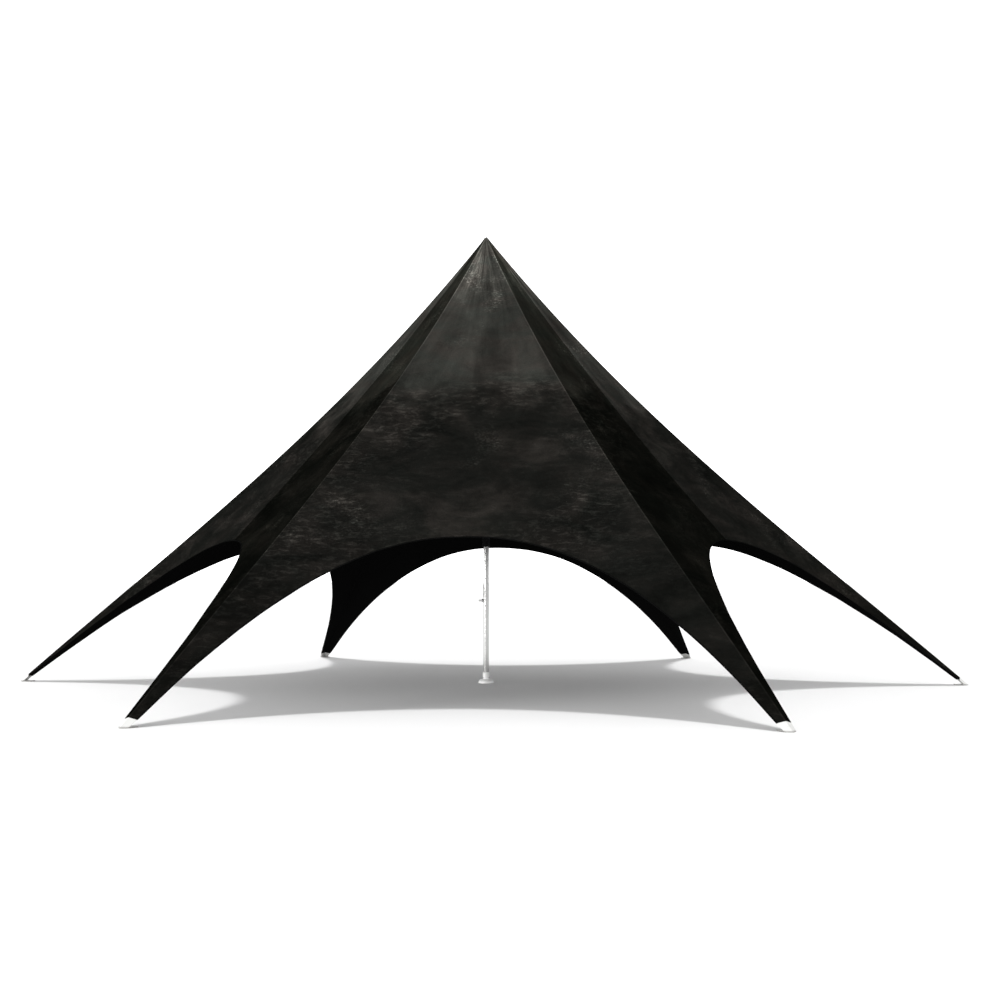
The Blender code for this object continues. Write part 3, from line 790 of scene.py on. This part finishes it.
def seam_loops(path, side_a, side_b, half_w, high):
    """A seam's cross-section, over the crease from one gore on to the next and back inside the
    cloth's thickness."""
    low = -0.4 * CLOTH_T
    (in_a, out_a), (in_b, out_b) = edge_frame(path, side_a), edge_frame(path, side_b)
    out_m = unit(out_a + out_b)
    corners = ((in_a, 1.0, out_a, low), (in_a, 1.0, out_a, high), (in_a, 0.3, out_a, 1.2 * high),
               (in_a, 0.0, out_m, 1.5 * high), (in_b, 0.3, out_b, 1.2 * high),
               (in_b, 1.0, out_b, high), (in_b, 1.0, out_b, low), (in_b, 0.0, out_m, low))
    return np.stack([path + aside * half_w * share + out * rise
                     for aside, share, out, rise in corners], axis=1)


every_row = np.arange(ROWS_ABOVE + ROWS_BELOW)
rows_to_arch = np.arange(ROWS_ABOVE)
# Painted highlight: the ridge seams' print is set paler than the panels'
ridge_cloth_painted_highlight = printed_polyester("smoke_printed_seam_painted_highlight", 0.40)
for arm in range(6):
    for name, rows, across, next_arm, half_w, high, cloth in (
            (f"ridge_seam_{ARMS[arm]}", every_row, 0.0, arm, SEAM_HALF_W, SEAM_T, ridge_cloth_painted_highlight),
            (f"valley_seam_{PANELS[arm]}", rows_to_arch, 1.0, (arm + 1) % 6, SEAM_HALF_W * 0.8,
             SEAM_T * 0.6, printed_cloth)):
        aside = abs(across - ASIDE)
        loops = seam_loops(cloth_at(rows, across, arm, 1), cloth_at(rows, aside, arm, 1),
                           cloth_at(rows, aside, next_arm, -1), half_w, high)
        strip = piece(name, *swept(loops), [cloth], "tent", sharp=50.0)
        lay_print(strip)

# Hems: black polyester webbing folded over each arch's edge from foot to foot, and sewn through
# with two rows of thread. Inside it is broad; outside, a turned strip of the cloth covers all but
# its outermost part.
HEM_W = 0.020
HEM_T = 0.0014
BINDING_W = 0.014
STITCH_LONG = 0.008
STITCH_ROW = 0.0075


def sewn_webbing():
    """Black polyester webbing, woven with ribs 2.5 mm apart across it: matt, a little dusty, and
    sewn with two rows of grey lock stitches 8 mm long."""
    made, add, shader = blank_material("black_polyester_webbing")
    place = add("Attribute", attribute_name="tape_place").outputs["Vector"]
    along, across, _ = add("SeparateXYZ", {0: place}).outputs
    from_middle = add("Math", {0: across}, operation="ABSOLUTE")
    # The thread is 0.8 mm thick; drawn at 1.6 mm so that it shows
    on_row = add("Math", {0: from_middle, 1: STITCH_ROW, 2: 0.0008}, operation="COMPARE")
    step = add("Math", {0: along, 1: STITCH_LONG}, operation="DIVIDE")
    part = add("Math", {0: step}, operation="FRACT")
    dash = add("Math", {0: part, 1: 0.72}, operation="LESS_THAN")
    thread = add("Math", {0: on_row, 1: dash}, operation="MULTIPLY")
    wear_at = add("TexCoord").outputs["Object"]
    wear = add("TexNoise", {"Vector": wear_at, "Scale": 3.0, "Detail": 8.0, "Roughness": 0.7})
    cloth = add("ValToRGB", {"Fac": wear}, ((0.35, "#060606"), (0.70, "#0C0C0C")))
    colour = add("Mix", {"Factor": thread, 6: cloth, 7: linear("#1E1E1E")}, data_type="RGBA")
    ribs_at = add("Math", {0: along, 1: 2513.0}, operation="MULTIPLY")
    ribs = add("Math", {0: ribs_at}, operation="SINE")
    height = add("Math", {0: thread, 1: 2.0, 2: ribs}, operation="MULTIPLY_ADD")
    relief = add("Bump", {"Height": height, "Strength": 0.3, "Distance": 0.0005})
    plug(shader, {"Base Color": colour.outputs[2], "Roughness": 0.9, "Normal": relief,
                  "Specular IOR Level": 0.0})
    return made


webbing = sewn_webbing()
low = -CLOTH_T - HEM_T
# Each corner of the folded tape: metres in from the edge, out from the cloth's face, and, for
# the stitches, from the middle of its width
hem_section = ((HEM_W, HEM_T * 0.7, -0.5 * HEM_W), (HEM_W * 0.9, HEM_T, -0.4 * HEM_W),
               (BINDING_W, HEM_T, 0.5 * HEM_W - BINDING_W), (0.0, HEM_T, 0.5 * HEM_W),
               (-0.0022, HEM_T * 0.2, 0.6 * HEM_W),
               (-0.0022, low + HEM_T * 0.8, 0.6 * HEM_W), (0.0, low, 0.5 * HEM_W),
               (HEM_W * 0.9, low, -0.4 * HEM_W), (HEM_W, low + HEM_T * 0.3, -0.5 * HEM_W))
below = np.arange(ROWS_ABOVE - 1, ROWS_ABOVE + ROWS_BELOW)
for panel in range(6):
    sides = [(cloth_at(below, 1.0, arm, side), cloth_at(below, 0.97, arm, side))
             for arm, side in ((panel, 1), ((panel + 1) % 6, -1))]
    path, inside = (np.concatenate((left[::-1], right[1:])) for left, right in zip(*sides))
    inward, normal = edge_frame(path, inside)
    loops = np.stack([path + inward * a + normal * b for a, b, _ in hem_section], axis=1)
    hem = piece(f"arch_hem_{PANELS[panel]}", *swept(loops), [webbing, printed_cloth], "tent",
                sharp=50.0, weld=False)
    # Outside, the first two faces across are the turned cloth, and the rest is webbing
    used = np.zeros(len(hem.data.polygons), int)
    used[:-2].reshape(-1, len(hem_section))[:, :2] = 1
    hem.data.polygons.foreach_set("material_index", used)
    lay_print(hem)
    along = np.concatenate(([0.0], np.cumsum(np.linalg.norm(np.diff(path, axis=0), axis=1))))
    tape = xyz(along[:, None], [w for _, _, w in hem_section], 0.0)
    kept = hem.data.attributes.new("tape_place", "FLOAT_VECTOR", "POINT")
    kept.data.foreach_set("vector", tape.astype(np.float32).ravel())

# Apex: a cone of doubled black cloth is sewn under the canopy's top and bears on the mast's
# head, which takes its pull.
LINING_RINGS = np.array([0.0175, 0.05, 0.10, 0.16, 0.22, 0.27, 0.295, 0.30])
LINING_DROPS = (0.0104, 0.0142)        # of its two faces, from the taut surface


def collar_rings(radii, drop):
    """Rings round the apex on the taut surface, let down by drop: at the height that the valley
    has at each radius, straight from ridge to valley twelve times round."""
    height, share, out = valley_height(radii)[:, None], np.arange(8)[None, :] / 8, []
    for arm in range(6):
        out.append(ruled(height, share, arm * ARM_STEP, 1))
        out.append(ruled(height, 1 - share, (arm + 1) * ARM_STEP, -1))
    return np.concatenate(out, axis=1) - (0.0, 0.0, drop)


top, under = (collar_rings(LINING_RINGS, drop) for drop in LINING_DROPS)
collar_loop = np.concatenate((top, under[::-1]), axis=0)
apex_collar = piece("apex_lining_cone", collar_loop,
                    grid_faces(*collar_loop.shape[:2], True, True), [coating], "tent")
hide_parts("apex_collar")

# Tongue pockets: a sleeve of the black cloth is sewn inside each arm's end, and the shoe's steel
# tongue slides up into it.
POCKET_TOP = (0.240, 0.220)    # heights of its end, at the ridge and at its sides
POCKET_SHARE = 0.97            # of the arm's width
POCKET_T = 0.0020              # measured down, so about 1.2 mm of cloth
POCKET_DROP, SEWN_DROP = 0.0112, 0.0034
ACROSS = np.linspace(-1.0, 1.0, 49)    # from edge over the ridge to edge


def arm_row(ridge_z, edge_z, drop, width):
    """A row across the end of the right-hand arm, from edge over the ridge to edge, let down by
    drop. The fold over the ridge is rounded by lowering its middle like a parabola."""
    edge = arch_edge(np.linspace(0.0, 1.0, 1500))
    share_end = np.interp(-edge_z, -edge[:, 1], edge[:, 0]) * width
    size = np.abs(ACROSS)
    z = ridge_z + (edge_z - ridge_z) * size
    row = ruled(z, share_end * size, 0.0, np.sign(ACROSS))
    fold = np.clip(1 - size / 0.10, 0.0, 1.0) ** 2
    row[:, 2] -= drop + 0.0012 * fold
    return row


def pocket_shape():
    """The sleeve hangs under the tongue and rises to the cloth beside it and above it, where it
    is sewn on. Its mouth, at the arm's end, is open."""
    from_side = np.clip((1.0 - np.abs(ACROSS)) / 0.12, 0.0, 1.0)
    shells = []
    for extra in (POCKET_T, 0.0):
        rows = []
        for up in np.linspace(0.0, 1.0, 17):
            ridge_z, edge_z = (low + (high - low) * up for low, high in zip(CLOTH_END, POCKET_TOP))
            hang = np.minimum(from_side, np.clip((1.0 - up) / 0.12, 0.0, 1.0))
            drop = SEWN_DROP + (POCKET_DROP - SEWN_DROP) * hang * hang * (3 - 2 * hang) + extra
            rows.append(arm_row(ridge_z, edge_z, drop, POCKET_SHARE))
        shells.append(np.stack(rows))
    return closed_plate(*shells)


def turned_to(points, arm):
    """Points of the right-hand arm carried round the mast to the numbered arm."""
    turn = arm * ARM_STEP
    x, y, z = points.reshape(-1, 3).T
    return xyz(x * math.cos(turn) - y * math.sin(turn), x * math.sin(turn) + y * math.cos(turn), z)


pocket_points, pocket_faces = pocket_shape()
for arm in range(6):
    pocket = piece(f"tongue_pocket_{ARMS[arm]}", turned_to(pocket_points, arm), pocket_faces,
                   [coating], "tent", sharp=60.0)

# Feet: a shoe of folded steel plate carries each arm's line on to the ground. A tongue on it
# runs up inside the cloth, and a flat plate with a peg hole lies behind it. Powder-coated white.
SHOE_TOP = (0.089, 0.069)  # heights of its upper edge, at the ridge and at its sides
TONGUE_TOP = (0.210, 0.190)
TONGUE_SHARE = 0.80        # of the arm's width
TONGUE_DROP = 0.0046       # from the arm's surface to the tongue's outer face
TONGUE_UNDER = 0.0106      # and to its inner face
SHOE_UNDER = 0.019         # and to the shoe's inner face above the ground plate
PLATE_T, PLATE_HALF_W, PLATE_L = 0.010, 0.055, 0.17
PEG_R, PEG_INSET = 0.009, 0.035


def foot_shape():
    """The foot as one closed loop of rows: down the outside of tongue and shoe, back along the
    ground, forward over the plate and up the inside."""
    plate_z = SHOE_UNDER + PLATE_T
    rows = [arm_row(*TONGUE_TOP, TONGUE_DROP, TONGUE_SHARE),
            arm_row(*SHOE_TOP, TONGUE_DROP, TONGUE_SHARE), arm_row(*SHOE_TOP, 0.0, 1.0)]
    rows += [arm_row(*[z * (1 - k / 6) for z in SHOE_TOP], 0.0, 1.0) for k in range(1, 6)]
    rows.append(arm_row(0.0, 0.0, 0.0, 1.0) * (1, 1, 0))
    rows += [xyz(FOOT_R - PLATE_L, PLATE_HALF_W * ACROSS, z) for z in (0.0, PLATE_T)]
    rows += [arm_row(plate_z, plate_z, SHOE_UNDER, TONGUE_SHARE),
             arm_row(*[z - 0.012 for z in SHOE_TOP], TONGUE_UNDER, TONGUE_SHARE),
             arm_row(*TONGUE_TOP, TONGUE_UNDER, TONGUE_SHARE)]
    rows = np.stack(rows)
    count, cols = rows.shape[:2]
    faces = grid_faces(count, cols, True, False).tolist()
    faces += [range(j, count * cols, cols) for j in (0, cols - 1)]
    return rows, faces


hole = turned([(0.0, -0.05), (PEG_R, -0.05), (PEG_R, 0.05), (0.0, 0.05)], 48)


def drilled(made, tool_points, tool_faces):
    """Cut the peg hole with a Boolean whose result is kept as the foot's own mesh."""
    tool_mesh = bpy.data.meshes.new("peg_hole")
    tool_mesh.from_pydata(tool_points.tolist(), [], tool_faces.tolist())
    welded(tool_mesh)
    tool = placed("peg_hole", tool_mesh)
    cut = made.modifiers.new("peg_hole", "BOOLEAN")
    cut.object = tool
    cut.operation = "DIFFERENCE"
    kept = bpy.data.meshes.new_from_object(made.evaluated_get(bpy.context.evaluated_depsgraph_get()))
    made.modifiers.clear()
    made.data = kept
    kept.shade_smooth()
    kept.set_sharp_from_angle(angle=math.radians(30))
    bpy.data.objects.remove(tool)


# Painted shade: the feet's coat is a darker copy of the white coat, so that the feet show grey
# against the lit floor
feet_coat_painted_shade = white_powder_coat("white_powder_coat_painted_shade", "#CFCFCD", "#ABABA7", 0.018)
foot_points, foot_faces = foot_shape()
hole_points = hole[0] + (FOOT_R - PLATE_L + PEG_INSET, 0.0, 0.0)
for arm in range(6):
    shoe = piece(f"foot_shoe_{ARMS[arm]}", turned_to(foot_points, arm), foot_faces,
                 [feet_coat_painted_shade], "tent")
    drilled(shoe, turned_to(hole_points, arm), hole[1])
    rounded(shoe, 0.0012)
    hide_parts(f"foot_{ARMS[arm]}")
